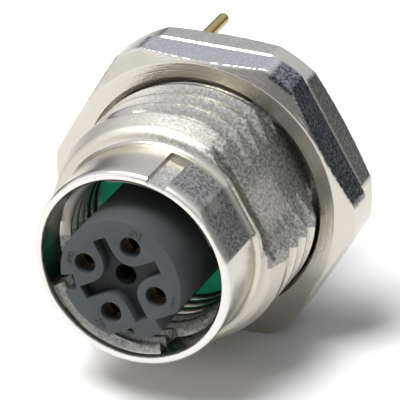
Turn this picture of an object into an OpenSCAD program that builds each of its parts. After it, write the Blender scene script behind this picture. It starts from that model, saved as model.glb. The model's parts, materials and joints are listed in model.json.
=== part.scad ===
// Panel-mount circular connector with a four-pole socket insert.
//
// A turned and plated housing passes through a panel from behind. Its hexagonal
// flange seats on the back of the panel and a hexagon nut on the M16 x 1.5 barrel
// clamps it from the front. The mouth takes an M12 plug: it has an interrupted
// (quick-lock) thread around a moulded insert with four socket contacts.
//
// Every piece is drawn along the connector's own axis, with +Z forward, towards
// the plug, and the front face of the flange (where the panel seats) at zero.
// laid_down() then turns that axis to -Y of the part's frame, with +Z up, so
// that a flat of the hexagon faces the ground. Angles are counted
// anticlockwise, as seen from the front, from the right-hand side.

/* [Neck] */
// Outer diameter of the smooth neck around the mouth
neck_d = 13.4; // [13.2:0.1:14]
// Length of the neck in front of the barrel
neck_len = 4.4; // [3.6:0.1:6]
// Rounding of the neck's front edge
neck_edge_r = 0.35; // [0.1:0.05:0.45]
// Depth of the flat milled on the neck
neck_flat_depth = 0.25; // [0.05:0.05:0.35]
// Length by which the neck flat runs on into the barrel
neck_flat_run = 0.6; // [0.2:0.1:1.4]
// Width of the marking groove along the neck
marking_groove_w = 1.35; // [0.8:0.05:2]
// Depth of the marking groove
marking_groove_depth = 0.35; // [0.15:0.05:0.4]

/* [Barrel] */
// Crest diameter of the panel thread
thread_d = 16; // [15.8:0.1:16.4]
// Length of the barrel from the flange to the neck
barrel_len = 9.1; // [8:0.1:14]
// Depth of the unthreaded pilot below the thread's crests
pilot_step = 0.45; // [0.2:0.05:0.7]
// Length of the pilot
pilot_len = 1.5; // [0.8:0.1:2.5]
// Chamfer on the pilot's front edge
pilot_chamfer = 0.25; // [0.1:0.05:0.5]
// Depth of the flat that keys the barrel in a D-shaped hole
barrel_flat_depth = 1.1; // [0.6:0.05:1.2]
// Direction in which both flats face
flat_turn = 30; // [0:1:90]

/* [Flange] */
// Width of the flange's flats beyond the thread
flange_rim = 1.5; // [1.3:0.1:3]
// Thickness of the flange
flange_t = 1.9; // [1.7:0.1:3]
// Amount turned off each corner of the flange
flange_corner_trim = 0.72; // [0.3:0.02:1.2]
// Distance by which the flange's turned rear face stays inside its flats
flange_face_trim = 0.2; // [0.1:0.05:0.6]
// Slope of the chamfers on the flange and the nut
hex_chamfer_angle = 22; // [15:1:35]

/* [Panel nut] */
// Wall of the nut between its thread and its flats
nut_wall = 1.45; // [1.3:0.05:3]
// Thickness of the nut
nut_t = 2.5; // [2:0.1:4]
// Amount turned off each corner of the nut
nut_corner_trim = 0.52; // [0.3:0.02:1.2]
// Distance by which the nut's turned front face stays inside its flats
nut_face_trim = 0.2; // [0.1:0.05:0.6]
// Chamfer at both ends of the nut's thread
nut_mouth_chamfer = 0.2; // [0.1:0.05:0.4]
// Radial play between the nut's thread and the barrel
nut_play = 0.05; // [0.02:0.01:0.1]

/* [Mouth] */
// Inner diameter of the smooth mouth
mouth_d = 12.1; // [12:0.05:12.3]
// Length of the mouth in front of the full locking thread
mouth_len = 2.7; // [2:0.1:3.2]
// Chamfer of the mouth's inner edge
mouth_chamfer = 0.12; // [0.05:0.01:0.25]
// Crest diameter of the locking thread
lock_d = 10.9; // [10.7:0.1:11.2]
// Length of the full locking thread
lock_len = 5.1; // [4:0.1:6]
// Number of thread sectors that reach forward into the mouth
lock_sectors = 2; // [1:1:3]
// Width of each of those sectors, in degrees
lock_sector_arc = 83; // [40:1:90]
// Direction of the first sector's middle
lock_turn = 246; // [0:1:359]
// Distance from the front edge to the start of the sectors
lock_start = 0.35; // [0.2:0.05:1]

/* [Insert] */
// Turn of the contact pattern against the hexagon
insert_turn = -16; // [-30:1:30]
// Diameter of the insert's nose
nose_d = 8.15; // [8:0.05:8.3]
// Height of the insert's face in front of the neck
nose_proud = 1.55; // [0.5:0.05:2.5]
// Chamfer around the insert's face
nose_chamfer = 0.12; // [0.05:0.01:0.3]
// Diameter of the circle through the contacts
contact_pcd = 5; // [4.8:0.1:5.2]
// Number of contacts on that circle
contact_count = 4; // [3:1:4]
// Diameter of the holes in the insert's face
face_hole_d = 1.42; // [1.3:0.02:1.5]
// Depth of the empty hole in the centre of the face
centre_hole_depth = 6; // [3:0.5:8]
// Depth of the star-shaped recess between the contacts
recess_depth = 0.85; // [0.4:0.05:1]
// Width of the recess's arms
recess_arm_w = 0.95; // [0.6:0.05:1.05]
// Distance from the axis to the ends of the arms
recess_reach = 2.93; // [2.6:0.05:3]
// Radius of the land left around each contact hole
land_r = 1.27; // [1.1:0.01:1.3]

/* [Coding] */
// Distance from the axis to the flat that carries the coding rib
coding_flat = 3.15; // [3.1:0.05:3.5]
// Width of the coding rib
coding_rib_w = 1.85; // [1.4:0.05:2.2]
// Direction of the coding rib, from the first contact
coding_rib_turn = 315; // [310:1:320]
// Width of the coding slot
coding_slot_w = 1.1; // [0.8:0.05:1.3]
// Distance from the axis to the floor of the coding slot
coding_slot_floor = 3.2; // [3.15:0.05:3.6]
// Direction of the coding slot, from the first contact
coding_slot_turn = 210; // [205:1:215]

/* [Rear bore] */
// Diameter of the bore behind the locking thread
rear_bore_d = 12.4; // [12.2:0.1:12.6]
// Radial play of the moulded parts in that bore
carrier_play = 0.05; // [0.02:0.01:0.1]
// Thickness of the ring that carries the insert
carrier_ring_t = 3; // [2.4:0.1:3.4]
// Diameter of the insert's foot, which the ring holds back
carrier_foot_d = 9; // [8.6:0.1:9.2]
// Thickness of that foot
carrier_foot_t = 1; // [0.6:0.1:1.4]
// Radius of the circle through the two locating pegs
peg_place_r = 5.3; // [5.2:0.05:5.4]
// Diameter of the locating pegs
peg_d = 0.8; // [0.6:0.05:1]
// Length of the locating pegs
peg_len = 0.7; // [0.5:0.1:1.2]
// Diameter of the boss around the solder pins
boss_d = 8.8; // [8:0.1:9.6]
// Distance by which the boss stands behind the flange
boss_proud = 0.7; // [0.3:0.1:1.5]
// Chamfer of the boss's rear edge
boss_chamfer = 0.25; // [0.1:0.05:0.5]

/* [Retaining ring] */
// Thickness of the snap ring
snap_t = 0.6; // [0.4:0.05:0.8]
// Radial width of the snap ring
snap_w = 1.05; // [0.8:0.05:1.2]
// Depth of its groove in the bore
snap_groove_depth = 0.4; // [0.3:0.05:0.45]
// Width of the gap in the snap ring
snap_gap = 4; // [2:0.5:6]
// Wall left behind the groove
snap_wall = 0.4; // [0.3:0.05:0.6]

/* [Seals] */
// Thickness of the green face seal at the foot of the mouth
face_seal_t = 1.3; // [1:0.1:1.6]
// Rounding of the face seal's inner front edge
face_seal_edge_r = 0.3; // [0.1:0.05:0.5]
// Section diameter of the O-ring around the carrier
bore_seal_section = 0.9; // [0.7:0.05:1]
// Section diameter of the O-ring in the flange
panel_seal_section = 0.7; // [0.5:0.05:0.75]
// Land left between the thread and the groove of the O-ring in the flange
panel_seal_land = 0.15; // [0.1:0.05:0.3]
// Play of an O-ring in its groove
seal_play = 0.05; // [0.02:0.01:0.1]

/* [Contacts] */
// Outer diameter of the socket
socket_d = 1.86; // [1.7:0.02:1.9]
// Bore of the socket, for a plug pin of 1 mm
socket_bore_d = 1.04; // [1.02:0.01:1.1]
// Depth of the socket's bore
socket_depth = 5; // [4:0.1:7]
// Width of the slot between the socket's two tines
socket_slot_w = 0.2; // [0.1:0.02:0.3]
// Length of that slot
socket_slot_len = 3.6; // [2:0.1:4]
// Distance from the insert's face down to the socket
socket_down = 1.1; // [1.05:0.05:1.5]
// Diameter of the collar that holds the contact in the carrier
collar_d = 2.3; // [2.1:0.05:2.5]
// Thickness of the collar
collar_t = 0.8; // [0.5:0.1:1.2]
// Diameter of the contact's shank inside the rear carrier
shank_d = 1.2; // [1:0.05:1.4]
// Diameter of the solder pins
solder_pin_d = 0.8; // [0.6:0.05:0.9]
// Distance from the flange's rear face to the pins' tips
pin_reach = 8.2; // [3:0.1:12]
// Radial play of a contact in the moulded parts
contact_play = 0.03; // [0.01:0.01:0.05]

/* [Shield pin] */
// Wall of the flange between the rear bore and the shield pin's seat
shield_pin_wall = 0.7; // [0.65:0.05:1.2]
// Direction of the shield pin, from the first contact
shield_pin_turn = 135; // [0:1:359]
// Diameter of the shield pin
shield_pin_d = 0.8; // [0.6:0.05:0.9]
// Diameter of the pin's pressed seat in the flange
shield_seat_d = 1.2; // [1:0.05:1.25]
// Length of that seat
shield_seat_len = 1; // [0.6:0.1:1.1]
// Diameter of the shoulder on the flange's rear face
shield_collar_d = 1.5; // [1.3:0.05:1.7]
// Thickness of that shoulder
shield_collar_t = 0.35; // [0.2:0.05:0.6]

/* [Hidden] */
$fn = 96;
// Overlap of a cutting tool beyond the surface that it cuts
over = 1;

// Places along the axis, forward from the panel seat
shoulder_z = barrel_len;
front_z = shoulder_z + neck_len;
face_z = front_z + nose_proud;
thread_end_z = shoulder_z - pilot_len;
lock_front_z = front_z - mouth_len;
seal_seat_z = lock_front_z - lock_len;
carrier_front_z = seal_seat_z - face_seal_t;
carrier_rear_z = carrier_front_z - carrier_ring_t;
carrier_foot_z = carrier_rear_z + carrier_foot_t;
rear_z = -flange_t;
snap_rear_z = rear_z + snap_wall;
snap_front_z = snap_rear_z + snap_t;
boss_rear_z = rear_z - boss_proud;
pin_tip_z = rear_z - pin_reach;
socket_front_z = face_z - socket_down;
recess_floor_z = face_z - recess_depth;

// Sizes that follow from the thread and the fits
pilot_d = thread_d - 2 * pilot_step;
barrel_flat = thread_d / 2 - barrel_flat_depth;
neck_flat = neck_d / 2 - neck_flat_depth;
shield_pin_r = rear_bore_d / 2 + shield_pin_wall + shield_seat_d / 2;
flange_af = thread_d + 2 * flange_rim;
flange_face_d = flange_af - 2 * flange_face_trim;
nut_bore_d = thread_d + 2 * nut_play;
nut_af = nut_bore_d + 2 * nut_wall;
nut_face_d = nut_af - 2 * nut_face_trim;
carrier_d = rear_bore_d - 2 * carrier_play;
bore_seal_d = rear_bore_d - 2 * seal_play - bore_seal_section;
bore_seal_groove_d = bore_seal_d - bore_seal_section;
bore_seal_groove_w = bore_seal_section + 4 * seal_play;
bore_seal_z = (carrier_front_z + carrier_rear_z) / 2;
panel_seal_groove_depth = panel_seal_section + seal_play;
panel_seal_groove_w = panel_seal_section + 4 * seal_play;
panel_seal_d = thread_d + 2 * panel_seal_land + panel_seal_groove_w;
snap_outer_d = rear_bore_d + 2 * (snap_groove_depth - carrier_play);
chamber_d = socket_d + 2 * contact_play;
shank_hole_d = shank_d + 2 * contact_play;

// ---- Helpers ----

// Turns the connector's axis from +Z to -Y of the part's frame.
module laid_down() {
    rotate([90, 0, 0]) children();
}

// A solid rod between two places on the axis.
module rod(d, from, to) {
    translate([0, 0, from]) cylinder(d = d, h = to - from);
}

// A cone between two places on the axis.
module cone(d_from, d_to, from, to) {
    translate([0, 0, from]) cylinder(d1 = d_from, d2 = d_to, h = to - from);
}

// A tube between two places on the axis.
module tube(od, id, from, to) {
    difference() {
        rod(od, from, to);
        rod(id, from - over, to + over);
    }
}

// A rubber ring with a round section.
module o_ring(ring_d, section_d, z) {
    translate([0, 0, z])
        rotate_extrude()
            translate([ring_d / 2, 0]) circle(d = section_d, $fn = 32);
}

// Puts its children at a radius and a direction around the axis.
module around(r, turn) {
    rotate([0, 0, turn]) translate([r, 0, 0]) children();
}

// What lies beyond a flat that faces along +X, between two places on the axis.
module beyond_flat(distance, turn, from, to) {
    rotate([0, 0, turn])
        translate([distance, -thread_d, from])
            cube([thread_d, 2 * thread_d, to - from]);
}

// A bar from the axis outward along +X, between two places on the axis.
module radial_bar(w, from_r, turn, from, to) {
    rotate([0, 0, turn])
        translate([from_r, -w / 2, from])
            cube([thread_d, w, to - from]);
}

// A wedge-shaped sector of a disc, centred on a direction. It is up to half a turn.
module sector(r, arc, turn, from, to) {
    reach = r / cos(arc / 4);
    translate([0, 0, from])
        linear_extrude(to - from)
            polygon(concat([[0, 0]], [
                for (step = [-2:2]) reach * [cos(turn + step * arc / 4), sin(turn + step * arc / 4)]
            ]));
}

// A turned hexagon whose corners are cut to a circle. One end has a chamfer down
// to face_d; it is the front end when front is true and the rear end otherwise.
module turned_hexagon(af, corner_trim, face_d, from, to, front) {
    corner_r = af / sqrt(3) - corner_trim;
    drop = (corner_r - face_d / 2) * tan(hex_chamfer_angle);
    intersection() {
        translate([0, 0, from]) cylinder(d = 2 * af / sqrt(3), h = to - from, $fn = 6);
        rotate_extrude()
            polygon(front
                ? [[0, from], [corner_r, from], [corner_r, to - drop], [face_d / 2, to], [0, to]]
                : [[0, from], [face_d / 2, from], [corner_r, from + drop], [corner_r, to], [0, to]]);
    }
}

// ---- Housing ----

// What a rounding tool takes off the neck's front edge.
module neck_rounding() {
    rotate_extrude()
        difference() {
            translate([neck_d / 2 - neck_edge_r, front_z - neck_edge_r])
                square(neck_edge_r + over);
            translate([neck_d / 2 - neck_edge_r, front_z - neck_edge_r])
                circle(neck_edge_r, $fn = 48);
        }
}

// The outside as it leaves the lathe: neck, pilot, thread blank and hexagon.
module housing_blank() {
    difference() {
        rod(neck_d, 0, front_z);
        neck_rounding();
    }
    rod(pilot_d, 0, shoulder_z - pilot_chamfer);
    cone(pilot_d, pilot_d - 2 * pilot_chamfer, shoulder_z - pilot_chamfer, shoulder_z);
    rod(thread_d, 0, thread_end_z - (thread_d - pilot_d) / 2);
    cone(thread_d, pilot_d, thread_end_z - (thread_d - pilot_d) / 2, thread_end_z);
    turned_hexagon(flange_af, flange_corner_trim, flange_face_d, rear_z, 0, false);
}

// The mouth, cut away between the sectors of the locking thread.
module mouth_cut() {
    rod(mouth_d, front_z - lock_start, front_z + over);
    cone(mouth_d, mouth_d + 2 * (mouth_chamfer + over), front_z - mouth_chamfer, front_z + over);
    difference() {
        rod(mouth_d, lock_front_z, front_z);
        for (i = [0:lock_sectors - 1])
            sector(mouth_d, lock_sector_arc, lock_turn + i * 360 / lock_sectors,
                   lock_front_z - over, front_z - lock_start);
    }
}

// The inside: mouth, locking thread, rear bore and the snap ring's groove.
module housing_bore() {
    mouth_cut();
    rod(lock_d, seal_seat_z - over, front_z + over);
    rod(rear_bore_d, rear_z - over, seal_seat_z);
    rod(rear_bore_d + 2 * snap_groove_depth, snap_rear_z, snap_front_z);
}

module housing() {
    color("silver") laid_down() difference() {
        housing_blank();
        housing_bore();
        beyond_flat(neck_flat, flat_turn, shoulder_z - neck_flat_run, front_z + over);
        beyond_flat(barrel_flat, flat_turn, 0, shoulder_z + over);
        radial_bar(marking_groove_w, neck_d / 2 - marking_groove_depth, insert_turn + 90,
                   shoulder_z, front_z + over);
        tube(panel_seal_d + panel_seal_groove_w, panel_seal_d - panel_seal_groove_w,
             -panel_seal_groove_depth, over / 20);
        around(shield_pin_r, insert_turn + shield_pin_turn)
            rod(shield_seat_d, rear_z - over, rear_z + shield_seat_len);
    }
}

// ---- Nut and seals ----

module panel_nut() {
    color("gainsboro") laid_down() difference() {
        turned_hexagon(nut_af, nut_corner_trim, nut_face_d, 0, nut_t, true);
        rod(nut_bore_d, -over, nut_t + over);
        cone(nut_bore_d, nut_bore_d + 2 * (nut_mouth_chamfer + over),
             nut_t - nut_mouth_chamfer, nut_t + over);
        cone(nut_bore_d + 2 * (nut_mouth_chamfer + over), nut_bore_d,
             -over, nut_mouth_chamfer);
    }
}

module panel_seal() {
    color("dimgray") laid_down()
        o_ring(panel_seal_d, panel_seal_section, -panel_seal_groove_depth + panel_seal_section / 2);
}

module bore_seal() {
    color("dimgray") laid_down() o_ring(bore_seal_d, bore_seal_section, bore_seal_z);
}

// A flat rubber ring, clamped at its rim between the thread's end and the carrier.
module face_seal() {
    inner_r = nose_d / 2 + seal_play;
    color("seagreen") laid_down() difference() {
        tube(carrier_d, 2 * inner_r, carrier_front_z, seal_seat_z);
        rotate_extrude()
            difference() {
                translate([inner_r - over, seal_seat_z - face_seal_edge_r])
                    square([over + face_seal_edge_r, face_seal_edge_r + over]);
                translate([inner_r + face_seal_edge_r, seal_seat_z - face_seal_edge_r])
                    circle(face_seal_edge_r, $fn = 48);
            }
    }
}

// ---- Moulded carriers ----

// Repeats its children at each contact, with the first on the right.
module at_contacts() {
    for (i = [0:contact_count - 1])
        around(contact_pcd / 2, insert_turn + i * 360 / contact_count) children();
}

// The star-shaped recess: a square between the contacts with four arms through
// its sides, less the round lands.
module face_recess() {
    translate([0, 0, recess_floor_z])
        linear_extrude(recess_depth + over)
            rotate(insert_turn) difference() {
                union() {
                    rotate(45) square(contact_pcd / sqrt(2), center = true);
                    for (turn = [45:90:315])
                        rotate(turn)
                            translate([0, -recess_arm_w / 2]) square([recess_reach, recess_arm_w]);
                }
                for (turn = [0:90:270])
                    rotate(turn) translate([contact_pcd / 2, 0]) circle(land_r);
            }
}

// The nose with its coding flat, rib and slot.
module nose() {
    difference() {
        union() {
            rod(nose_d, carrier_rear_z, face_z - nose_chamfer);
            cone(nose_d, nose_d - 2 * nose_chamfer, face_z - nose_chamfer, face_z);
        }
        difference() {
            beyond_flat(coding_flat, insert_turn + coding_rib_turn, carrier_front_z, face_z + over);
            radial_bar(coding_rib_w, 0, insert_turn + coding_rib_turn,
                       carrier_front_z - over, face_z + 2 * over);
        }
        radial_bar(coding_slot_w, coding_slot_floor, insert_turn + coding_slot_turn,
                   carrier_front_z, face_z + over);
        face_recess();
    }
}

module contact_carrier() {
    color([0.2, 0.21, 0.22]) laid_down() difference() {
        union() {
            nose();
            rod(carrier_foot_d, carrier_rear_z, carrier_foot_z);
        }
        rod(face_hole_d, face_z - centre_hole_depth, face_z + over);
        at_contacts() {
            rod(face_hole_d, socket_front_z - over, face_z + over);
            rod(chamber_d, carrier_rear_z - over, socket_front_z);
            rod(collar_d + 2 * contact_play, carrier_rear_z - over, carrier_rear_z + collar_t);
        }
    }
}

// The ring that holds the insert by its foot and seals against the bore.
module carrier_ring() {
    color([0.24, 0.25, 0.26]) laid_down() difference() {
        tube(carrier_d, nose_d + 2 * carrier_play, carrier_rear_z, carrier_front_z);
        rod(carrier_foot_d + 2 * carrier_play, carrier_rear_z - over, carrier_foot_z);
        tube(rear_bore_d + over, bore_seal_groove_d,
             bore_seal_z - bore_seal_groove_w / 2, bore_seal_z + bore_seal_groove_w / 2);
        for (turn = [45, 225])
            around(peg_place_r, insert_turn + turn)
                rod(peg_d + 2 * contact_play, carrier_rear_z - over,
                    carrier_rear_z + peg_len + contact_play);
    }
}

module rear_carrier() {
    color([0.16, 0.17, 0.18]) laid_down() difference() {
        union() {
            rod(carrier_d, snap_front_z, carrier_rear_z);
            rod(boss_d, boss_rear_z + boss_chamfer, carrier_rear_z);
            cone(boss_d - 2 * boss_chamfer, boss_d, boss_rear_z, boss_rear_z + boss_chamfer);
            for (turn = [45, 225])
                around(peg_place_r, insert_turn + turn)
                    rod(peg_d, snap_front_z, carrier_rear_z + peg_len);
        }
        at_contacts() rod(shank_hole_d, boss_rear_z - over, carrier_rear_z + over);
    }
}

module retaining_ring() {
    color("slategray") laid_down() difference() {
        tube(snap_outer_d, snap_outer_d - 2 * snap_w, snap_rear_z, snap_front_z);
        radial_bar(snap_gap, 0, 270, snap_rear_z - over, snap_front_z + over);
    }
}

// ---- Contacts ----

// A pin with a rounded tip at its rear end.
module round_pin(d, tip, to) {
    rod(d, tip + d / 2, to);
    translate([0, 0, tip + d / 2]) sphere(d = d, $fn = 48);
}

// A slotted socket, a collar that the two carriers hold, a shank and a solder pin.
module contact(number) {
    turn = (number - 1) * 360 / contact_count;
    color("goldenrod") laid_down() around(contact_pcd / 2, insert_turn + turn) difference() {
        union() {
            rod(socket_d, carrier_rear_z, socket_front_z);
            rod(collar_d, carrier_rear_z, carrier_rear_z + collar_t);
            rod(shank_d, boss_rear_z, carrier_rear_z);
            round_pin(solder_pin_d, pin_tip_z, boss_rear_z);
        }
        rod(socket_bore_d, socket_front_z - socket_depth, socket_front_z + over);
        translate([-socket_d, -socket_slot_w / 2, socket_front_z - socket_slot_len])
            cube([2 * socket_d, socket_slot_w, socket_slot_len + over]);
    }
}

module contact_1() { contact(1); }
module contact_2() { contact(2); }
module contact_3() { contact(3); }
module contact_4() { contact(4); }

// The pin that takes the cable shield or the board's earth to the housing.
module shield_pin() {
    color("goldenrod") laid_down() around(shield_pin_r, insert_turn + shield_pin_turn) {
        round_pin(shield_pin_d, pin_tip_z, rear_z - shield_collar_t);
        rod(shield_collar_d, rear_z - shield_collar_t, rear_z);
        rod(shield_seat_d, rear_z, rear_z + shield_seat_len);
    }
}

housing();
panel_nut();
panel_seal();
contact_carrier();
carrier_ring();
face_seal();
bore_seal();
rear_carrier();
retaining_ring();
shield_pin();
contact_1();
contact_2();
contact_3();
contact_4();
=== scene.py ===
# %% [markdown]
# # A round panel connector
# The real object is about 25 mm long: a turned and nickel-plated housing with a
# hexagonal flange, a panel nut on its thread, and a moulded insert with four
# sockets inside its mouth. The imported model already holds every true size. This
# lesson dresses it: threads, rounded edges, moulded details, finishes and light.

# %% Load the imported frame
import json
import math
import bmesh
import bpy
import numpy as np
from mathutils import Matrix, Vector

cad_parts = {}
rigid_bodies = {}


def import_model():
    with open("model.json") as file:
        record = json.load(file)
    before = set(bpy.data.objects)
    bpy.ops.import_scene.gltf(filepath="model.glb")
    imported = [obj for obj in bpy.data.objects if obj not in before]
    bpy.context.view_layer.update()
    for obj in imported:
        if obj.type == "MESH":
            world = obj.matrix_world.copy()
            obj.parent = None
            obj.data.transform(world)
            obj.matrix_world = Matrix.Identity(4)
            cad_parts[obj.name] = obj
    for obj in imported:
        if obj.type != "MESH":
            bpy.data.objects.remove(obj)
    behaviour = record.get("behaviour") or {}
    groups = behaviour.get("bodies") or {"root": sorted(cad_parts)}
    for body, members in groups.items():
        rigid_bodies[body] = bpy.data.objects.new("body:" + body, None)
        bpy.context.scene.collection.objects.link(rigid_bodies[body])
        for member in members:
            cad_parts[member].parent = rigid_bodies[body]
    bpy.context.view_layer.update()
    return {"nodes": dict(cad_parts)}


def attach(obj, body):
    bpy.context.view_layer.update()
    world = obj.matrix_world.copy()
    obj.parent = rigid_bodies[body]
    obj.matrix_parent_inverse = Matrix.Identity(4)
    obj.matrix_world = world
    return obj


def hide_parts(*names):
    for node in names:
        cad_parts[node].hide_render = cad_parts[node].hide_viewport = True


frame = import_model()
print("nodes:", ", ".join(sorted(frame["nodes"])))

# %% [markdown]
# ## Sizes
# Turned parts are described best along their own axis. Here `h` is the height
# above the panel seat, towards the plug, and an angle turns anticlockwise from
# the right-hand side as the plug sees it. The part's frame points that axis
# along -Y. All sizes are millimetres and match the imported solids. Only the
# insert's face lies 0.06 mm deeper, so that its raised numbers end at the true
# height.

# %% Heights and sizes along the axis
MM = 0.001
FLANGE_REAR, SEAT, SHOULDER, FRONT = -1.9, 0.0, 9.1, 13.5
NUMBER_HEIGHT = 0.06
NUT_TOP, FACE = 2.5, 14.99
print("length over the insert and the flange:",
      round(FACE + NUMBER_HEIGHT - FLANGE_REAR, 2), "mm")

# %% Radii, flats and directions
ACROSS_FLATS, FLANGE_CORNER, NUT_CORNER, TURNED_FACE = 19.0, 10.25, 10.45, 9.3
CREST, ROOT, PITCH = 8.0, 7.08, 1.5
NECK, NECK_FLAT, BARREL_FLAT, FLAT_TURN = 6.7, 6.45, 6.9, 30.0
MOUTH, LOCK_CREST, LOCK_ROOT, LOCK_PITCH = 6.05, 5.45, 6.0, 1.0
REAR_BORE, RING_GROOVE, NOSE_RADIUS = 6.2, 6.6, 4.075
INSERT_TURN, GROOVE_TURN = -16.0, 74.0
print("depth of the panel thread:", round(CREST - ROOT, 2), "mm")

# %% [markdown]
# ## Turned pieces from one grid
# A cylinder primitive can't carry a thread that runs into a milled flat. A grid
# can: its columns are directions around the axis and its rows follow the outline
# of the cut-through part, so the radius may be any formula of direction and
# height. Where surfaces meet, a smooth minimum rounds the edge as plating does.
# Along a thread the rows climb with the helix, so that crests stay crisp.

# %% Formulas for radii
NO_LIMIT = 99.0


def smooth_min(a, b, width):
    near = np.clip(width - np.abs(a - b), 0, None) / width
    return np.minimum(a, b) - near * near * width / 4


def smooth_max(a, b, width):
    return -smooth_min(-a, -b, width)


def plane_radius(distance, turn, theta):
    facing = np.cos(np.radians(theta - turn))
    return np.where(facing > 0.3, distance / np.maximum(facing, 0.3), NO_LIMIT)


def angle_from_flat(theta):
    from_flat = (theta - FLAT_TURN) % 60
    return np.minimum(from_flat, 60 - from_flat)


def hexagon_radius(theta, corner):
    flats = ACROSS_FLATS / 2 / np.cos(np.radians(angle_from_flat(theta)))
    return smooth_min(flats, corner, 0.05)


print("hexagon corner before turning:", round(ACROSS_FLATS / math.sqrt(3), 2), "mm")

# %% Formula of the panel thread
CREST_AT = 5.53 - PITCH * 0.5 / 360
LAST_ROOT, RUN_OUT = 6.80, 0.12
LEAD_IN_AT, LEAD_IN_SLOPE = 7.38, 0.28


def thread_radius(theta, h):
    first_crest = CREST_AT + PITCH * theta / 360
    turns = (h - first_crest) / PITCH
    off_crest = np.abs(turns - np.round(turns)) * PITCH
    flank = CREST - (off_crest - PITCH / 16) * math.sqrt(3)
    cut = smooth_max(smooth_min(flank, CREST, 0.05), ROOT, 0.10)
    root_at = first_crest + (np.floor(turns) + 0.5) * PITCH
    depth = np.clip((LAST_ROOT - root_at) / RUN_OUT, 0, 1)
    lead_in = CREST - LEAD_IN_SLOPE * np.clip(h - LEAD_IN_AT, 0, 2)
    return smooth_min(CREST - depth * (CREST - cut), lead_in, 0.03)


probe = thread_radius(np.array([0.5]), np.array([5.53]))
print("radius on a crest:", round(float(probe[0]), 3), "mm")

# %% Rows that stay level and rows that climb
def ring(h, radius):
    return {"h": np.array([h]), "radius": radius, "pitch": 0.0}


def helix(low, high, pitch, crest_at, offsets, radius, downward=False):
    first = math.floor((low - pitch - crest_at) / pitch)
    last = math.ceil((high - crest_at) / pitch)
    h = np.sort([crest_at + k * pitch + o for k in range(first, last + 1) for o in offsets])
    h = h[(h > low - pitch - pitch / 2) & (h < high + pitch / 2)]
    return {"h": h[::-1] if downward else h, "radius": radius, "pitch": pitch,
            "low": low, "high": high, "climb": len(offsets) * (-1 if downward else 1)}


def row_points(part, theta):
    h = part["h"][:, None] + part["pitch"] * theta[None, :] / 360
    if part["pitch"]:
        h = np.clip(h, part["low"], part["high"])
    radius = part["radius"]
    r = radius(theta[None, :] + 0 * h, h) if callable(radius) else radius + 0 * h
    a = np.radians(theta)[None, :]
    return np.stack([r * np.cos(a), -h, r * np.sin(a)], -1)


print("a helix of two offsets has", len(helix(0, 3, 1, 0, (0, 0.5), CREST)["h"]), "rows")

# %% Finish any mesh
def finished(name, mesh, weld=0.0):
    made = bmesh.new()
    made.from_mesh(mesh)
    if weld:
        bmesh.ops.remove_doubles(made, verts=made.verts, dist=weld)
        bmesh.ops.dissolve_degenerate(made, edges=made.edges, dist=weld)
    bmesh.ops.recalc_face_normals(made, faces=made.faces)
    open_edges = sum(1 for e in made.edges if len(e.link_faces) != 2)
    made.to_mesh(mesh)
    made.free()
    mesh.shade_smooth()
    mesh.set_sharp_from_angle(angle=math.radians(38))
    piece = bpy.data.objects.new(name, mesh)
    bpy.context.scene.collection.objects.link(piece)
    triangles = sum(len(p.vertices) - 2 for p in mesh.polygons)
    print(f"{name}: {triangles} triangles, {open_edges} open edges")
    return piece


# %% Join the rows into a turned piece
WELD = 2e-7


def turned_piece(name, theta, outline):
    points, onward = [], []
    for part in outline:
        points.append(row_points(part, theta))
        start, count, climb = len(onward), len(part["h"]), part.get("climb", 0)
        onward += [start + min(max(i + climb, 0), count - 1) for i in range(count)]
    points = np.concatenate(points) * MM
    rows, columns = points.shape[:2]
    index = np.arange(rows * columns).reshape(rows, columns)
    above = np.roll(index, -1, 0)
    quads = np.stack([index[:, :-1], index[:, 1:], above[:, 1:], above[:, :-1]], -1)
    faces = quads.reshape(-1, 4).tolist()
    for m in range(rows):
        n = (m + 1) % rows
        corners = [index[m, -1], index[onward[m], 0], index[onward[n], 0], index[n, -1]]
        faces.append(list(dict.fromkeys(int(c) for c in corners)))
    mesh = bpy.data.meshes.new(name)
    mesh.from_pydata(points.reshape(-1, 3).tolist(), [], [f for f in faces if len(f) > 2])
    return finished(name, mesh, weld=WELD)


print("points closer than", round(WELD / MM, 5), "mm are welded")

# %% Choose the directions of the columns
def directions(step, *finer):
    """Directions around the axis, with finer steps between given ones."""
    marks = list(np.arange(0, 360, step))
    for middle, half_width, fine in finer:
        marks = [t for t in marks if abs((t - middle + 180) % 360 - 180) > half_width]
        marks += list((middle + np.arange(-half_width, half_width + fine / 2, fine)) % 360)
    return np.array(sorted(set(np.round(marks, 4) % 360)))


hexagon_edges = [(FLAT_TURN + 60 * k + s * 22.05, 1.2, 0.4) for k in range(6) for s in (-1, 1)]
print("a row that isn't refined has", len(directions(1.25)), "columns")

# %% [markdown]
# ## The housing
# The outline starts at the rear bore and runs over the flange, the panel thread,
# the pilot and the neck, around the rim into the mouth, and back along the
# locking thread. The same grid holds the milled flats and the marking groove,
# because each is only another limit on the radius.

# %% Outline of the flange and the barrel
CORNER_SLOPE = math.tan(math.radians(22))
EDGE_BREAK = 0.14


def flange_radius(theta, h):
    slope = TURNED_FACE + (h - FLANGE_REAR) / CORNER_SLOPE
    front_edge = hexagon_radius(theta, FLANGE_CORNER) - np.clip(h + EDGE_BREAK, 0, 1)
    return smooth_min(front_edge, slope, 0.06)


def barrel_radius(theta, h):
    limit = plane_radius(BARREL_FLAT, FLAT_TURN, theta)
    limit = np.where(h > 8.5, plane_radius(NECK_FLAT, FLAT_TURN, theta), limit)
    round_part = thread_radius(theta, h) - np.clip(h - 8.85, 0, 1)
    return smooth_min(round_part, limit, 0.03)


print("the flange's corner is turned from", round(ACROSS_FLATS / math.sqrt(3), 2),
      "to", FLANGE_CORNER, "mm")

# %% Outline of the neck
FILLET, RIM_RADIUS, RIM_AT = 0.42, 0.35, 13.15
GROOVE_FLOOR, GROOVE_HALF, GROOVE_AT = 6.35, 5.75, 9.62


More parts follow.
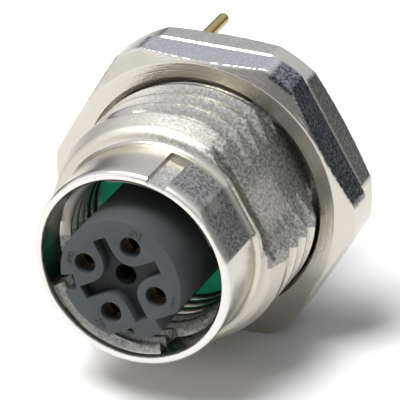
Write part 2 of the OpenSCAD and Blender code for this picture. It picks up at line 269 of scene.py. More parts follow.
def neck_radius(theta, h):
    edge = np.clip(h - RIM_AT, 0, RIM_RADIUS)
    above = np.clip(FILLET - (h - SHOULDER), 0, FILLET)
    fillet = FILLET - np.sqrt(FILLET**2 - above**2)
    r = smooth_min(NECK - RIM_RADIUS + np.sqrt(RIM_RADIUS**2 - edge**2),
                   plane_radius(NECK_FLAT, FLAT_TURN, theta), 0.03) + fillet
    in_groove = (np.abs(theta - GROOVE_TURN) < GROOVE_HALF) & (h > GROOVE_AT)
    return np.where(in_groove, np.minimum(r, plane_radius(GROOVE_FLOOR, GROOVE_TURN, theta)), r)


rim = [RIM_AT + RIM_RADIUS * math.sin(math.radians(a)) for a in range(0, 91, 15)]
print("the neck's rounded rim ends at", round(rim[-1], 2), "mm")

# %% Outline of the mouth
LOCK_AT, LOCK_END = 6.0, 13.15
SECTOR_TURN, SECTOR_HALF, SECTOR_EDGE = 246, 41.6, 0.3
LEDGE_AT, MOUTH_LEAD_IN_AT = 10.6, 12.8


def lock_radius(theta, h):
    turns = (h - LOCK_AT - LOCK_PITCH * theta / 360) / LOCK_PITCH
    off_crest = np.abs(turns - np.round(turns)) * LOCK_PITCH
    flank = LOCK_CREST + (off_crest - LOCK_PITCH / 8) * math.sqrt(3)
    r = smooth_min(smooth_max(flank, LOCK_CREST, 0.04), LOCK_ROOT, 0.05)
    from_sector = np.abs((theta - SECTOR_TURN + 90) % 180 - 90)
    in_sector = np.clip((SECTOR_HALF - from_sector) / SECTOR_EDGE, 0, 1)
    opened = np.maximum(r, np.minimum(MOUTH, LOCK_CREST + np.clip(h - LEDGE_AT, 0, 1) * 2))
    lead_in = np.clip(h - MOUTH_LEAD_IN_AT, 0, 1) * 1.7 + LOCK_CREST
    return np.maximum(opened + (r - opened) * in_sector, np.minimum(lead_in, MOUTH))


print("play between insert and locking thread:", round(LOCK_CREST - NOSE_RADIUS, 3), "mm")

# %% The housing's rows outside
outer_offsets = [-0.66, -0.60, -0.51, -0.42, -0.33, -0.24, -0.14, -0.095, -0.05,
                 0.05, 0.095, 0.14, 0.24, 0.33, 0.42, 0.51, 0.60]
rows = [ring(FLANGE_REAR, r) for r in (6.36, 7.5, 9.0, 9.22)]
rows += [ring(FLANGE_REAR + d, flange_radius)
         for d in (0.0, 0.04, 0.09, 0.14, 0.19, 0.24, 0.29, 0.34, 0.39, 0.44, 0.55,
                   1.2, 1.7, 1.76, 1.83, 1.9)]
rows += [ring(h, r) for h, r in ((SEAT, 9.2), (SEAT, 9.05), (-0.75, 9.05), (-0.75, 8.15),
                                 (SEAT, 8.15))]
rows += [helix(SEAT, 7.36, PITCH, CREST_AT, outer_offsets, barrel_radius)]
rows += [ring(h, barrel_radius) for h in (7.38, 7.41, 7.45, 7.6, 7.8, 8.0, 8.25,
                                          8.495, 8.505, 8.6, 8.85, 8.92, 9.0, 9.06)]
rows += [ring(SHOULDER, lambda t, h: np.minimum(barrel_radius(t, h), 7.2))]
rows += [ring(SHOULDER + d, neck_radius) for d in (0.0, 0.01, 0.03, 0.07, 0.12, 0.2, 0.3, 0.42)]
rows += [ring(h, neck_radius) for h in (9.61, 9.63, 9.8, 10.3, 10.6, 10.9, 11.3, 11.8,
                                        12.1, 12.6, *rim)]
print("rows outside:", sum(len(part["h"]) for part in rows))

# %% The housing's rows inside and its mesh
lock_offsets = [-0.15, -0.10, 0.10, 0.15, 0.285, 0.42, 0.46, 0.54, 0.58, 0.715]
rows += [ring(FRONT - d, r) for d, r in ((0, 6.30), (0, 6.19), (0.02, 6.165), (0.12, 6.06),
                                         (0.16, MOUTH))]
rows += [helix(5.7, LOCK_END, LOCK_PITCH, LOCK_AT, lock_offsets, lock_radius, downward=True)]
rows += [ring(h, REAR_BORE) for h in (5.7, 5.6, -0.9)]
rows += [ring(h, RING_GROOVE) for h in (-0.9, -1.5)]
rows += [ring(h, REAR_BORE) for h in (-1.5, -1.74)]
housing_turns = directions(
    1.5, (30, 37, 0.8), (GROOVE_TURN, 7, 1.0), *hexagon_edges,
    *[(GROOVE_TURN + s * GROOVE_HALF, 0.35, 0.175) for s in (-1, 1)],
    *[(t + s * 41.5, 0.4, 0.2) for t in (66, SECTOR_TURN) for s in (-1, 1)])
housing = turned_piece("housing_turned", housing_turns, rows)
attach(housing, "connector")
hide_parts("housing")

# %% [markdown]
# ## The panel nut
# The nut is the same hexagon with its front corners turned away, and a thread
# inside that meshes with the barrel's. Its inner radius is the barrel's own
# formula plus a little play, so the crests of one sit in the roots of the other.

# %% Outlines of the nut
THREAD_PLAY = 0.07


def nut_radius(theta, h):
    slope = TURNED_FACE + (NUT_TOP - h) / CORNER_SLOPE
    rear_edge = hexagon_radius(theta, NUT_CORNER) - np.clip(EDGE_BREAK - h, 0, 1)
    return smooth_min(rear_edge, slope, 0.06)


def nut_bore(theta, h):
    r = np.clip(thread_radius(theta, np.minimum(h, 6.0)) + THREAD_PLAY, 7.2, 8.05)
    countersink = np.maximum(CREST + 0.28 - np.minimum(h, NUT_TOP - h), 0)
    return smooth_max(r, countersink, 0.04)


print("play in the nut's thread:", THREAD_PLAY, "mm")

# %% The nut's rows and its mesh
rows = [ring(SEAT, r) for r in (8.4, 9.2)]
rows += [ring(h, nut_radius) for h in (0.0, 0.07, 0.14, 0.2, 0.9, 1.7, 1.88)]
rows += [ring(NUT_TOP - d, nut_radius) for d in
         (0.54, 0.49, 0.44, 0.39, 0.34, 0.29, 0.24, 0.19, 0.14, 0.09, 0.04, 0.0)]
rows += [ring(NUT_TOP, r) for r in (9.22, 8.8, 8.4)]
rows += [helix(SEAT, NUT_TOP, PITCH, CREST_AT, outer_offsets, nut_bore, downward=True)]
nut = turned_piece("nut_turned", directions(1.25, *hexagon_edges), rows)
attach(nut, "nut")
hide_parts("panel_nut")

# %% [markdown]
# ## The green face seal
# A plug's ring presses on this flat rubber ring at the foot of the mouth. It is
# a plain turned outline with a soft inner lip.

# %% The seal's rows and its mesh
SEAL_FOOT, SEAL_TOP, LIP = 4.4, 5.7, 0.18
lip = [(4.3 - LIP * math.cos(math.radians(a)), 5.52 + LIP * math.sin(math.radians(a)))
       for a in range(0, 91, 15)]
rows = [ring(SEAL_FOOT, 6.15), ring(5.64, 6.15), ring(SEAL_TOP, 6.1), ring(SEAL_TOP, 5.0)]
rows += [ring(h, r) for r, h in reversed(lip)] + [ring(SEAL_FOOT, 4.125)]
seal = turned_piece("seal_ring", directions(2), rows)
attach(seal, "connector")
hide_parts("face_seal")

# %% [markdown]
# ## The moulded insert
# The insert is a nose with a flat, a rib and a slot that code it, five holes and
# a star-shaped recess between them. Straight-sided details like these come from
# flat outlines that are pushed along the axis and cut out of each other with
# exact booleans. A narrow bevel then gives the edges the softness of a mould.

# %% Flat outlines and the bodies pushed from them
def disc(radius, centre=(0, 0), count=64):
    return [(centre[0] + radius * math.cos(2 * math.pi * i / count),
             centre[1] + radius * math.sin(2 * math.pi * i / count)) for i in range(count)]


def bar(start, end, width, turn):
    a = math.radians(turn)
    along, across = Vector((math.cos(a), math.sin(a))), Vector((-math.sin(a), math.cos(a)))
    corners = [along * start - across * width / 2, along * end - across * width / 2,
               along * end + across * width / 2, along * start + across * width / 2]
    return [tuple(c) for c in corners]


def prism(name, outline, low, high):
    made = bmesh.new()
    foot = [made.verts.new((x, y, low)) for x, y in outline]
    made.faces.new(foot)
    pushed = bmesh.ops.extrude_face_region(made, geom=made.faces[:])
    top = [g for g in pushed["geom"] if isinstance(g, bmesh.types.BMVert)]
    bmesh.ops.translate(made, vec=(0, 0, high - low), verts=top)
    bmesh.ops.recalc_face_normals(made, faces=made.faces)
    mesh = bpy.data.meshes.new(name)
    made.to_mesh(mesh)
    made.free()
    piece = bpy.data.objects.new(name, mesh)
    bpy.context.scene.collection.objects.link(piece)
    return piece


print("a disc has", len(disc(1)), "corners and a bar", len(bar(0, 1, 1, 0)))

# %% Cut, join and lay down
def bake_modifiers(piece):
    bpy.context.view_layer.update()
    seen = piece.evaluated_get(bpy.context.evaluated_depsgraph_get())
    mesh = bpy.data.meshes.new_from_object(seen)
    piece.modifiers.clear()
    piece.data = mesh


def combine(piece, operation, *others):
    for other in others:
        step = piece.modifiers.new("step", "BOOLEAN")
        step.operation, step.object, step.solver = operation, other, "EXACT"
        bake_modifiers(piece)
        bpy.data.objects.remove(other)
    return piece


UPRIGHT_TO_FRONT = Matrix(((1, 0, 0, 0), (0, 0, -1, 0), (0, 1, 0, 0), (0, 0, 0, 1)))
LAID_DOWN = UPRIGHT_TO_FRONT @ Matrix.Scale(MM, 4)
print("a point 1 mm forward lands at", [round(v, 4) for v in LAID_DOWN @ Vector((0, 0, 1))])

# %% The nose with its coding flat, rib and slot
NOSE_FOOT, CODED_FROM, BEYOND = 1.4, 4.4, FACE + 1
RIB_TURN, SLOT_TURN = INSERT_TURN + 315, INSERT_TURN + 210
nose = prism("insert_nose", disc(NOSE_RADIUS, count=160), NOSE_FOOT, FACE)
beside_rib = prism("beside_rib", bar(3.15, 6, 12, RIB_TURN), CODED_FROM, BEYOND)
beside_rib = combine(beside_rib, "DIFFERENCE",
                     prism("rib", bar(0, 8, 1.85, RIB_TURN), 4, FACE + 2))
slot_tool = prism("slot_tool", bar(3.2, 6, 1.1, SLOT_TURN), CODED_FROM, BEYOND)
nose = combine(nose, "DIFFERENCE", beside_rib, slot_tool)
print("insert outline:", len(nose.data.vertices), "points")

# %% The star-shaped recess
CONTACT_RADIUS, STAR_FLOOR, LAND_RADIUS = 2.5, FACE - 0.85, 1.27
contact_turns = [INSERT_TURN + 90 * k for k in range(4)]
contact_places = [(CONTACT_RADIUS * math.cos(math.radians(t)),
                   CONTACT_RADIUS * math.sin(math.radians(t))) for t in contact_turns]
star = prism("star", bar(-2.5, 2.5, 5, 0), STAR_FLOOR, BEYOND)
narrowed = [Matrix.Scale(1 / math.sqrt(2), 4, axis) for axis in ((1, 0, 0), (0, 1, 0))]
star.data.transform(narrowed[0] @ narrowed[1])
star.data.transform(Matrix.Rotation(math.radians(INSERT_TURN + 45), 4, "Z"))
arms = [prism("arm", bar(0, 2.93, 0.95, turn + 45), STAR_FLOOR, BEYOND) for turn in contact_turns]
lands = [prism("land", disc(LAND_RADIUS, p), FACE - 2, FACE + 2) for p in contact_places]
star = combine(combine(star, "UNION", *arms), "DIFFERENCE", *lands)
print("star:", len(star.data.vertices), "points")

# %% The five holes and the insert's foot
HOLE_RADIUS, CHAMBER_RADIUS, HOLE_FLOOR = 0.71, 0.96, 13.95
FOOT_RADIUS, FOOT_TOP, COLLAR_RADIUS = 4.5, 2.4, 1.18
holes = [prism("hole", disc(HOLE_RADIUS, p, 48), HOLE_FLOOR, BEYOND) for p in contact_places]
holes += [prism("hole", disc(HOLE_RADIUS, (0, 0), 48), FACE - 6, BEYOND)]
chambers = [prism("chamber", disc(CHAMBER_RADIUS, p, 48), 1, HOLE_FLOOR) for p in contact_places]
nose = combine(nose, "DIFFERENCE", star, *holes, *chambers)
nose = combine(nose, "UNION", prism("foot", disc(FOOT_RADIUS, count=160), NOSE_FOOT, FOOT_TOP))
nose = combine(nose, "DIFFERENCE",
               *[prism("seat", disc(COLLAR_RADIUS, p, 48), 1, 2.2) for p in contact_places])
print("insert after cutting:", len(nose.data.vertices), "points")

# %% Soften the insert's edges
soft = nose.modifiers.new("mould_radius", "BEVEL")
soft.width, soft.segments, soft.limit_method = 0.06, 2, "ANGLE"
soft.angle_limit = math.radians(40)
bake_modifiers(nose)
nose.data.transform(LAID_DOWN)
insert = finished("socket_insert", nose.data)
bpy.data.objects.remove(nose)
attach(insert, "connector")
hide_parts("contact_carrier")

# %% [markdown]
# ## Numbers beside the holes
# The mould leaves a small raised numeral outside each hole, turned with it, so
# that each is read with its own hole at its left. Text objects give the shapes.

# %% Raise the four numerals
NUMBER_RADIUS, NUMBER_SIZE = 3.58, 1.05
for number, turn in enumerate((2.0, 88.6, 180.0, 261.7), start=1):
    curve = bpy.data.curves.new(f"numeral_{number}", "FONT")
    curve.body, curve.size, curve.extrude = str(number), NUMBER_SIZE, NUMBER_HEIGHT
    curve.offset = 0.02
    curve.align_x, curve.align_y = "CENTER", "CENTER"
    text = bpy.data.objects.new("text", curve)
    bpy.context.scene.collection.objects.link(text)
    bpy.context.view_layer.update()
    seen = text.evaluated_get(bpy.context.evaluated_depsgraph_get())
    mesh = bpy.data.meshes.new_from_object(seen)
    bpy.data.objects.remove(text)
    turned = Matrix.Rotation(math.radians(INSERT_TURN + turn), 4, "Z")
    mesh.transform(LAID_DOWN @ (turned @ Matrix.Translation((NUMBER_RADIUS, 0, FACE))))
    numeral = finished(f"numeral_{number}_raised", mesh)
    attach(numeral, "connector")

# %% [markdown]
# ## Finishes
# Bright nickel over turned brass shows three scales: faint rings from the lathe,
# a fine orange-peel of the plating, and slow changes of gloss. One node group
# makes these as a height and a roughness, with a mask of coarse specks beside
# them, and each metal places it with its own amounts. Nodes made by script are
# easier to read when one small helper adds a node and another does arithmetic.

# %% Helpers for nodes
def add_node(tree, kind, **values):
    node = tree.nodes.new(kind)
    for key, value in values.items():
        if key in node.inputs:
            node.inputs[key].default_value = value
        else:
            setattr(node, key, value)
    return node


def math_node(tree, operation, *values):
    node = add_node(tree, "ShaderNodeMath", operation=operation)
    for socket, value in zip(node.inputs, values):
        if isinstance(value, bpy.types.NodeSocket):
            tree.links.new(value, socket)
        else:
            socket.default_value = value
    return node.outputs[0]


def place_in_mm(tree):
    where = add_node(tree, "ShaderNodeTexCoord")
    in_mm = add_node(tree, "ShaderNodeVectorMath", operation="SCALE")
    in_mm.inputs["Scale"].default_value = 1 / MM
    tree.links.new(where.outputs["Object"], in_mm.inputs[0])
    return in_mm.outputs[0]


def surface_group(name, inputs, outputs):
    tree = bpy.data.node_groups.new(name, "ShaderNodeTree")
    for socket, default in inputs.items():
        made = tree.interface.new_socket(socket, in_out="INPUT", socket_type="NodeSocketFloat")
        made.default_value = default
    for socket in outputs:
        tree.interface.new_socket(socket, in_out="OUTPUT", socket_type="NodeSocketFloat")
    print(name, "takes", ", ".join(inputs), "and gives", ", ".join(outputs))
    return tree, tree.nodes.new("NodeGroupInput").outputs, tree.nodes.new("NodeGroupOutput").inputs


print("patterns are placed in steps of 1 mm, so places are multiplied by", round(1 / MM))

# %% The group for plated metal: grain, specks and gloss
plating, given, asked = surface_group(
    "plated_surface",
    {"Grain": 0.5, "Grain Scale": 6.0, "Lathe Rings": 0.5, "Ring Scale": 9.0, "Roughness": 0.2,
     "Gloss Change": 0.1, "Speckle Scale": 7.0, "Speckle Contrast": 5.0},
    ("Height", "Roughness", "Mottle", "Speckle"))
link = plating.links.new
spot = place_in_mm(plating)
grain = add_node(plating, "ShaderNodeTexNoise", Detail=3.0, Roughness=0.6)
specks = add_node(plating, "ShaderNodeTexNoise", Detail=2.0, Roughness=0.55)
mottle = add_node(plating, "ShaderNodeTexNoise", Scale=0.55, Detail=2.0)
for noise in (grain, specks, mottle):
    link(spot, noise.inputs["Vector"])
link(given["Grain Scale"], grain.inputs["Scale"])
link(given["Speckle Scale"], specks.inputs["Scale"])
from_middle = math_node(plating, "SUBTRACT", specks.outputs["Fac"], 0.5)
parted = math_node(plating, "MULTIPLY", from_middle, given["Speckle Contrast"])
sharp = math_node(plating, "ADD", parted, 0.5)
sharp.node.use_clamp = True
link(sharp, asked["Speckle"])
link(mottle.outputs["Fac"], asked["Mottle"])
off_gloss = math_node(plating, "SUBTRACT", mottle.outputs["Fac"], 0.5)
change = math_node(plating, "MULTIPLY", off_gloss, given["Gloss Change"])
link(math_node(plating, "ADD", change, given["Roughness"]), asked["Roughness"])
print("plated_surface has", len(plating.nodes), "nodes so far")

# %% The group for plated metal: lathe rings
axes = add_node(plating, "ShaderNodeSeparateXYZ")
link(spot, axes.inputs[0])
squares = [math_node(plating, "MULTIPLY", axes.outputs[a], axes.outputs[a]) for a in "XZ"]
radius = math_node(plating, "SQRT", math_node(plating, "ADD", *squares))
ring_place = add_node(plating, "ShaderNodeCombineXYZ")
for axis, distance in enumerate((radius, axes.outputs["Y"])):
    link(math_node(plating, "MULTIPLY", distance, given["Ring Scale"]), ring_place.inputs[axis])
ring_noise = add_node(plating, "ShaderNodeTexNoise", Scale=1.0, Detail=2.0, Roughness=0.7)
link(ring_place.outputs[0], ring_noise.inputs["Vector"])
rings = math_node(plating, "MULTIPLY", ring_noise.outputs["Fac"], given["Lathe Rings"])
grain_and_glint_colours = math_node(plating, "MULTIPLY", grain.outputs["Fac"], given["Grain"])
link(math_node(plating, "ADD", rings, grain_and_glint_colours), asked["Height"])
print("plated_surface has", len(plating.nodes), "nodes")

# %% [markdown]
# ## Metal materials
# The colour of nickel over brass is a warm grey. Constant values sit on the shader itself; only
# what changes over the surface comes from the group. Four zones, which the next step writes on the
# meshes, choose between a smooth skin, a granular one whose light specks are also painted glints,
# a milled one darkened with painted shade and painted dark reflection, a painted highlight on the
# rim and a matt one.

# %% Helpers for materials
def new_material(name, **constants):
    material = bpy.data.materials.new(name)
    material.use_nodes = True
    tree = material.node_tree
    shader = tree.nodes["Principled BSDF"]
    for key, value in constants.items():
        shader.inputs[key.replace("_", " ")].default_value = value
    return material, tree, shader


def mix_colours(tree, amount, first, second):
    mix = add_node(tree, "ShaderNodeMix", data_type="RGBA")
    for socket, value in zip((mix.inputs[0], mix.inputs[6], mix.inputs[7]),
                             (amount, first, second)):
        if isinstance(value, bpy.types.NodeSocket):
            tree.links.new(value, socket)
        else:
            socket.default_value = (*value, 1)
    return mix.outputs[2]


def shade(colour, amount):
    return tuple(c * amount for c in colour)


def zone(tree, name):
    return add_node(tree, "ShaderNodeAttribute", attribute_name=name).outputs["Fac"]


def raise_surface(tree, shader, height, depth):
    bump = add_node(tree, "ShaderNodeBump", Strength=1.0, Distance=depth * MM)
    tree.links.new(height, bump.inputs["Height"])
    tree.links.new(bump.outputs[0], shader.inputs["Normal"])


print("a shade of white:", shade((1, 1, 1), 0.85))

# %% Nickel for the housing and the nut
# The second colour is a lighter nickel painted on the top of the rim as a highlight.
CHAMPAGNE, RIM_HIGHLIGHT = (0.56, 0.535, 0.460), (0.70, 0.68, 0.64)
MATT_ROUGHNESS = 0.35


def nickel(name, grain_and_glint_colours, milled, **amounts):
    material, tree, shader = new_material(name, Metallic=1.0)
    skin = add_node(tree, "ShaderNodeGroup", node_tree=plating)
    for key, value in amounts.items():
        skin.inputs[key.replace("_", " ")].default_value = value
    speckle, mottle = skin.outputs["Speckle"], skin.outputs["Mottle"]
    even = mix_colours(tree, mottle, shade(CHAMPAGNE, 0.95), shade(CHAMPAGNE, 1.05))
    # The granular colours are the plating's grain, and their light specks are also painted glints.
    grain_and_glints = mix_colours(tree, speckle, *grain_and_glint_colours)
    # The milled colours are painted shade and painted dark reflection over the real milled flats.
    cut = mix_colours(tree, speckle, *milled)
    turned = mix_colours(tree, zone(tree, "granular_glints"), even, grain_and_glints)
    # Painted highlight: a lighter colour on the top of the rim.
    turned = mix_colours(tree, zone(tree, "rim_highlight"), turned, RIM_HIGHLIGHT)
    colour = mix_colours(tree, zone(tree, "milled"), turned, cut)
    tree.links.new(colour, shader.inputs["Base Color"])
    rougher = math_node(tree, "MULTIPLY", zone(tree, "matt"), MATT_ROUGHNESS)
    roughness = math_node(tree, "ADD", skin.outputs["Roughness"], rougher)
    tree.links.new(roughness, shader.inputs["Roughness"])
    raise_surface(tree, shader, skin.outputs["Height"], 0.012)
    return material


# The milled colours below are painted shade and painted dark reflection; the light grain colours
# carry painted glints.
nickel_turned = nickel(
    "nickel_turned", grain_and_glint_colours=((0.34, 0.33, 0.29), (0.66, 0.64, 0.59)),
    milled=((0.10, 0.10, 0.095), (0.42, 0.42, 0.40)), Grain=0.9, Grain_Scale=5.0,
    Lathe_Rings=0.4, Speckle_Scale=5.0, Speckle_Contrast=2.8)
nickel_nut = nickel(
    "nickel_nut", grain_and_glint_colours=((0.45, 0.45, 0.46), (0.66, 0.66, 0.68)),
    milled=((0.02, 0.023, 0.026), (0.30, 0.31, 0.32)), Grain=0.8, Grain_Scale=5.0,
    Lathe_Rings=0.6, Speckle_Scale=5.5, Speckle_Contrast=3.0)
housing.data.materials.append(nickel_turned)
nut.data.materials.append(nickel_nut)
print("materials so far:", [m.name for m in (nickel_turned, nickel_nut)])

# %% [markdown]
# ## Zones of the finish and of painted light
# The lathe leaves a smooth surface. The barrel's upper side gets the plating's grain, with painted
# glints in its light specks. The right-hand flats, the part of the neck beside the marking groove,
# the thread roots and the ledge inside the mouth get painted shade and painted dark reflection,
# partly over real milled flats, and the top of the rim gets a painted highlight. Masks painted by
# hand would not survive a change of shape, so a formula of direction, height and radius gives each
# point of the mesh a number that says how much of each zone is there.

# %% A number on every point
def fade(value, start, end):
    return np.clip((value - start) / (end - start), 0, 1)


def beside(value, middle, half_width, soft):
    return np.clip((half_width - np.abs(value - middle)) / soft, 0, 1)


def mark_zone(piece, name, formula):
    flat = np.empty(3 * len(piece.data.vertices))
    piece.data.vertices.foreach_get("co", flat)
    x, y, z = flat.reshape(-1, 3).T / MM
    amount = formula(np.degrees(np.arctan2(z, x)), -y, np.hypot(x, z))
    layer = piece.data.attributes.new(name, "FLOAT", "POINT")
    layer.data.foreach_set("value", amount.astype(np.float32))
    print(f"{piece.name} {name}: mean {amount.mean():.2f}")


print("halfway through a fade:", float(fade(0.5, 0, 1)))

# %% Where the milled flats and the grooves are
RIGHT_SIDE = 31


def on_flat(theta, r):
    return fade(r * np.cos(np.radians(angle_from_flat(theta))), 9.42, 9.47)


def on_right_flat(theta, r):
    return on_flat(theta, r) * (np.abs(theta - FLAT_TURN) < RIGHT_SIDE)


def on_barrel_flat(theta, h, r):
    below_flat = r * np.cos(np.radians(theta - FLAT_TURN)) < BARREL_FLAT + 0.04
    return below_flat * (np.abs(theta - FLAT_TURN) < 35) * (r > 6.6) * (h > 0.3) * (h < 9.0)


# A patch of the barrel flat that keeps less of the dark colour and gets more speckle.
def worn_patch(theta, h):
    return beside(theta, 24, 14, 6) * beside(h, 6.6, 2.1, 0.8)


def beside_marking(theta, r):
    return (np.abs(theta - 41.2) < 27.2) * (r > 6.3)


def in_groove(theta, h, r):
    outside = (h > 0.1) * (h < 7.4) * (r > 6.9)
    return outside * fade(r, 7.93, 7.6) * (1 - on_barrel_flat(theta, h, r))


print("a point on a flat:", float(on_flat(FLAT_TURN, ACROSS_FLATS / 2)))

# %% The housing's zones
# Grain and painted glints: light and dark specks on the barrel's upper side, the flange flats, the
# marking groove and a patch of the barrel flat, fewer in the thread roots.
def granular_housing(theta, h, r):
    barrel = fade(theta, 112, 88) * fade(theta, -3, 2) * (h > 0.1) * (h < 9.15) * (r > 6.9)
    barrel = barrel * (1 - 0.8 * in_groove(theta, h, r))
    marking = 0.8 * beside(theta, GROOVE_TURN, 12, 3) * (h > 9.7) * (r < 6.66) * (r > 6.1)
    patch = on_barrel_flat(theta, h, r) * worn_patch(theta, h)
    return np.clip(0.85 * barrel + patch + marking + 0.5 * on_flat(theta, r) * (h < 0), 0, 1)


# Painted shade and painted dark reflection: a darker colour on the neck beside the marking groove
# (with a lighter spot left in it), the barrel flat, the flange's right flat, the thread roots and
# the ledge inside the mouth.
def milled_housing(theta, h, r):
    neck = beside_marking(theta, r) * fade(h, 9.5, 9.75) * fade(h, 13.2, 13.0)
    neck = neck * (1 - 0.5 * beside(theta, 44, 6, 2) * beside(h, 11.5, 0.7, 0.2))
    flat = on_barrel_flat(theta, h, r) * (1 - 0.9 * worn_patch(theta, h))
    side = on_right_flat(theta, r) * (h < -0.05)
    ledge = (r < 6.2) * (r > 5.3) * (h > 8.5) * fade(h, 13.3, 13.0) * (theta < 0)
    grooves = 0.4 * in_groove(theta, h, r)
    return np.clip(neck + 0.8 * flat + grooves + 0.45 * side + 0.8 * ledge, 0, 1)


def matt_housing(theta, h, r):
    neck = 0.4 * beside_marking(theta, r) * (h > 9.4)
    cone = 0.75 * (h > 7.3) * (h < 9.2) * (r > 6.9)
    lock = 0.8 * (h > 8.5) * (h < 13.3) * (r < 6.04)
    return np.clip(on_barrel_flat(theta, h, r) + neck + cone + lock, 0, 1)


# Painted highlight on the top of the rim.
def bright_housing(theta, h, r):
    return fade(h, 13.25, 13.4) * (r > 6.0)


for name, formula in (("granular_glints", granular_housing), ("milled", milled_housing),
                      ("matt", matt_housing), ("rim_highlight", bright_housing)):
    mark_zone(housing, name, formula)

# %% The nut's zones
# Grain and painted glints on the nut's upper flats, with a trace everywhere.
def granular_nut(theta, h, r):
    return 0.6 * on_flat(theta, r) * (theta > 59) * (theta < 121) + 0.06


# Painted shade and painted dark reflection on the nut's right flat and on the rounded corner
# beside it.
def milled_nut(theta, h, r):
    dark_corner = beside(theta, 58, 6, 1.5) * fade(r, 10.0, 10.15)
    between_edges = fade(h, 0.05, 0.12) * fade(h, 2.48, 2.42)
    return np.clip(on_right_flat(theta, r) + dark_corner, 0, 1) * between_edges


mark_zone(nut, "granular_glints", granular_nut)
mark_zone(nut, "milled", milled_nut)
for name in ("matt", "rim_highlight"):
    mark_zone(nut, name, lambda theta, h, r: 0 * r)

# %% [markdown]
# ## Plastic, rubber, steel and gold
# Moulded plastic has the fine grain of its mould, rubber is smoother, and the small metal pieces
# are faintly uneven. All of them share one group that gives a grain and the roughness that goes
# with it. Three things stand in for light: the sides of the insert and the floor of its star have
# a darker colour than its face, in place of a deeper shade than these lamps leave there; the gold
# of the four contacts is darkened as painted shade deep in their holes; and the green rubber has a
# trace of glow, in place of light scattered inside it.

# %% The group for grain
ROUGHNESS_CHANGE = 0.15
graining, given, asked = surface_group(
    "grained_surface",
    {"Grain Scale": 9.0, "Least Roughness": 0.4, "Roughness Change": ROUGHNESS_CHANGE},
    ("Grain", "Roughness"))
noise = add_node(graining, "ShaderNodeTexNoise", Detail=4.0, Roughness=0.6)
graining.links.new(place_in_mm(graining), noise.inputs["Vector"])
graining.links.new(given["Grain Scale"], noise.inputs["Scale"])
graining.links.new(noise.outputs["Fac"], asked["Grain"])
graining.links.new(
    math_node(graining, "MULTIPLY_ADD", noise.outputs["Fac"], given["Roughness Change"],
              given["Least Roughness"]), asked["Roughness"])
print("grained_surface has", len(graining.nodes), "nodes")

# %% Materials that share it
def grained(name, colour, roughness, grain_scale, depth, painted_recess_shade=None, **constants):
    material, tree, shader = new_material(name, **constants)
    skin = add_node(tree, "ShaderNodeGroup", node_tree=graining)
    skin.inputs["Grain Scale"].default_value = grain_scale
    skin.inputs["Least Roughness"].default_value = roughness - ROUGHNESS_CHANGE / 2
    seen = mix_colours(tree, skin.outputs["Grain"], shade(colour, 0.85), shade(colour, 1.15))
    # A darker colour paints shade where the insert lies below its face.
    if painted_recess_shade:
        seen = mix_colours(tree, zone(tree, "painted_recess_shade"), seen, shade(colour, painted_recess_shade))
    tree.links.new(seen, shader.inputs["Base Color"])
    tree.links.new(skin.outputs["Roughness"], shader.inputs["Roughness"])
    raise_surface(tree, shader, skin.outputs["Grain"], depth)
    return material


black_plastic = grained("black_plastic_satin", (0.052, 0.058, 0.060), 0.5, 9.0, 0.006,
                        painted_recess_shade=0.2, Specular_IOR_Level=0.3)
number_plastic = grained("number_plastic", (0.02, 0.021, 0.022), 0.22, 9.0, 0.004)
green_rubber = grained("green_rubber_smooth", (0.02, 0.66, 0.36), 0.35, 4.0, 0.006,
                       Emission_Color=(0.06, 1.0, 0.52, 1), Emission_Strength=0.05)
black_rubber = grained("black_rubber_matt", (0.02, 0.02, 0.02), 0.6, 6.0, 0.01)
spring_steel = grained("spring_steel_satin", (0.42, 0.42, 0.43), 0.32, 8.0, 0.006, Metallic=1.0)
gold = grained("gold_flash", (0.44, 0.35, 0.13), 0.16, 5.0, 0.008, Metallic=1.0)
# Painted shade: the contacts' gold is darkened, as they sit deep in their holes.
shaded_gold = grained("gold_in_painted_shade", (0.40, 0.30, 0.15), 0.3, 5.0, 0.008, Metallic=1.0)
print("materials:", len(bpy.data.materials))

# %% Place them on the scene's own pieces
insert.data.materials.append(black_plastic)
# Painted shade: a darker colour on the insert's sides and the floor of its star.
mark_zone(insert, "painted_recess_shade", lambda theta, h, r: fade(h, FACE - 0.05, FACE - 0.12))
seal.data.materials.append(green_rubber)
for piece in bpy.data.objects:
    if piece.name.startswith("numeral_"):
        piece.data.materials.append(number_plastic)
print("plastic and rubber are placed")

# %% Place them on the solids that stay as they are
kept = {"panel_seal": black_rubber, "bore_seal": black_rubber, "carrier_ring": black_plastic,
        "rear_carrier": black_plastic, "retaining_ring": spring_steel, "shield_pin": gold,
        "contact_1": shaded_gold, "contact_2": shaded_gold, "contact_3": shaded_gold, "contact_4": shaded_gold}
for node, material in kept.items():
    for slot in frame["nodes"][node].material_slots:
        slot.material = material
print("kept solids:", len(kept))

# %% [markdown]
# ## Floor, sky and lights
# Plated metal is a mirror, so it looks like what stands around it: a white floor,
# a dark band at the horizon and a pale sky of soft light. A picture of a studio
# could give the same, but a ramp over the height is easier to tune. Matt surfaces
# get less of the sky than mirrors do, so that the shadow stays deep. Two large
# lamps give the white streaks.

# %% The floor
HALF_FLOOR, FLOOR_AT = 3.0, -ACROSS_FLATS / 2 * MM
floor_mesh = bpy.data.meshes.new("floor")
corners = [(x * HALF_FLOOR, y * HALF_FLOOR, FLOOR_AT)
           for x, y in ((-1, -1), (1, -1), (1, 1), (-1, 1))]
floor_mesh.from_pydata(corners, [], [(0, 1, 2, 3)])
floor = bpy.data.objects.new("floor", floor_mesh)
bpy.context.scene.collection.objects.link(floor)
paper = new_material("white_paper", Roughness=0.9, Base_Color=(0.85, 0.85, 0.85, 1))[0]
floor_mesh.materials.append(paper)
print("floor at", round(FLOOR_AT / MM, 2), "mm")

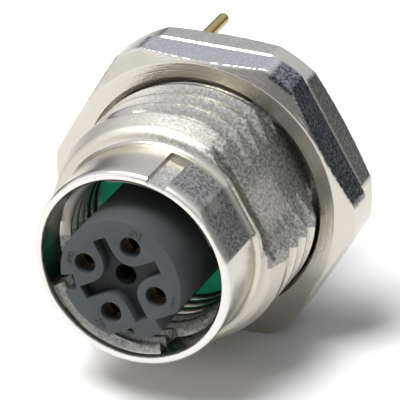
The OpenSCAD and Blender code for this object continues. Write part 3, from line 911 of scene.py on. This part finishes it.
# %% The sky
world = bpy.data.worlds.new("studio")
bpy.context.scene.world = world
world.use_nodes = True
sky = world.node_tree
where = add_node(sky, "ShaderNodeTexCoord")
height = add_node(sky, "ShaderNodeSeparateXYZ")
sky.links.new(where.outputs["Generated"], height.inputs[0])
ramp = add_node(sky, "ShaderNodeValToRGB")
stops = [(0.0, (0.13, 0.135, 0.15)), (0.13, (0.13, 0.135, 0.15)), (0.32, (0.60, 0.61, 0.67)),
         (0.5, (0.85, 0.87, 0.98)), (1.0, (1.0, 1.0, 1.0))]
for place, colour in stops[2:]:
    ramp.color_ramp.elements.new(place)
for element, (place, colour) in zip(ramp.color_ramp.elements, stops):
    element.position, element.color = place, (*colour, 1)
sky.links.new(height.outputs["Z"], ramp.inputs[0])
sky.links.new(ramp.outputs[0], sky.nodes["Background"].inputs["Color"])
path = add_node(sky, "ShaderNodeLightPath")
strength = math_node(sky, "MULTIPLY_ADD", path.outputs["Is Diffuse Ray"], -0.75, 1.0)
sky.links.new(strength, sky.nodes["Background"].inputs["Strength"])
print("sky stops:", len(ramp.color_ramp.elements))

# %% The lamps
def soft_lamp(name, place, size, power):
    lamp = bpy.data.lights.new(name, "AREA")
    lamp.shape, lamp.size, lamp.size_y, lamp.energy = "RECTANGLE", *size, power
    holder = bpy.data.objects.new(name, lamp)
    bpy.context.scene.collection.objects.link(holder)
    holder.location = place
    holder.rotation_euler = (-Vector(place)).to_track_quat("-Z", "Y").to_euler()


soft_lamp("lamp_above", (-0.12, -0.15, 0.50), (0.28, 0.28), 4.3)
soft_lamp("lamp_left", (-0.42, -0.38, 0.13), (0.60, 0.28), 0.5)

# %% [markdown]
# ## Camera
# A long lens from the upper right front keeps the hexagons nearly parallel. A
# target object with a constraint could aim it, but a place worked out from where
# it looks, how far it stands and how much it leans stays put by itself.

# %% Place the camera
DISTANCE, LEAN = 274.883, -0.61
lens = bpy.data.cameras.new("camera")
lens.sensor_width, lens.lens = 36.0, 382.35
lens.clip_start, lens.clip_end = 0.01, 20.0
camera = bpy.data.objects.new("camera", lens)
bpy.context.scene.collection.objects.link(camera)
aim = Vector((-0.719, -1.007, -1.224)) * MM
forward = Vector((-0.35811, 0.81332, -0.45855)).normalized()
look = (-forward).to_track_quat("Z", "Y").to_matrix().to_4x4()
stand = Matrix.Translation(aim - forward * DISTANCE * MM)
camera.matrix_world = stand @ look @ Matrix.Rotation(math.radians(LEAN), 4, "Z")
bpy.context.scene.camera = camera
bpy.context.scene.view_settings.view_transform = "Standard"
print("camera at", [round(v, 4) for v in camera.location])
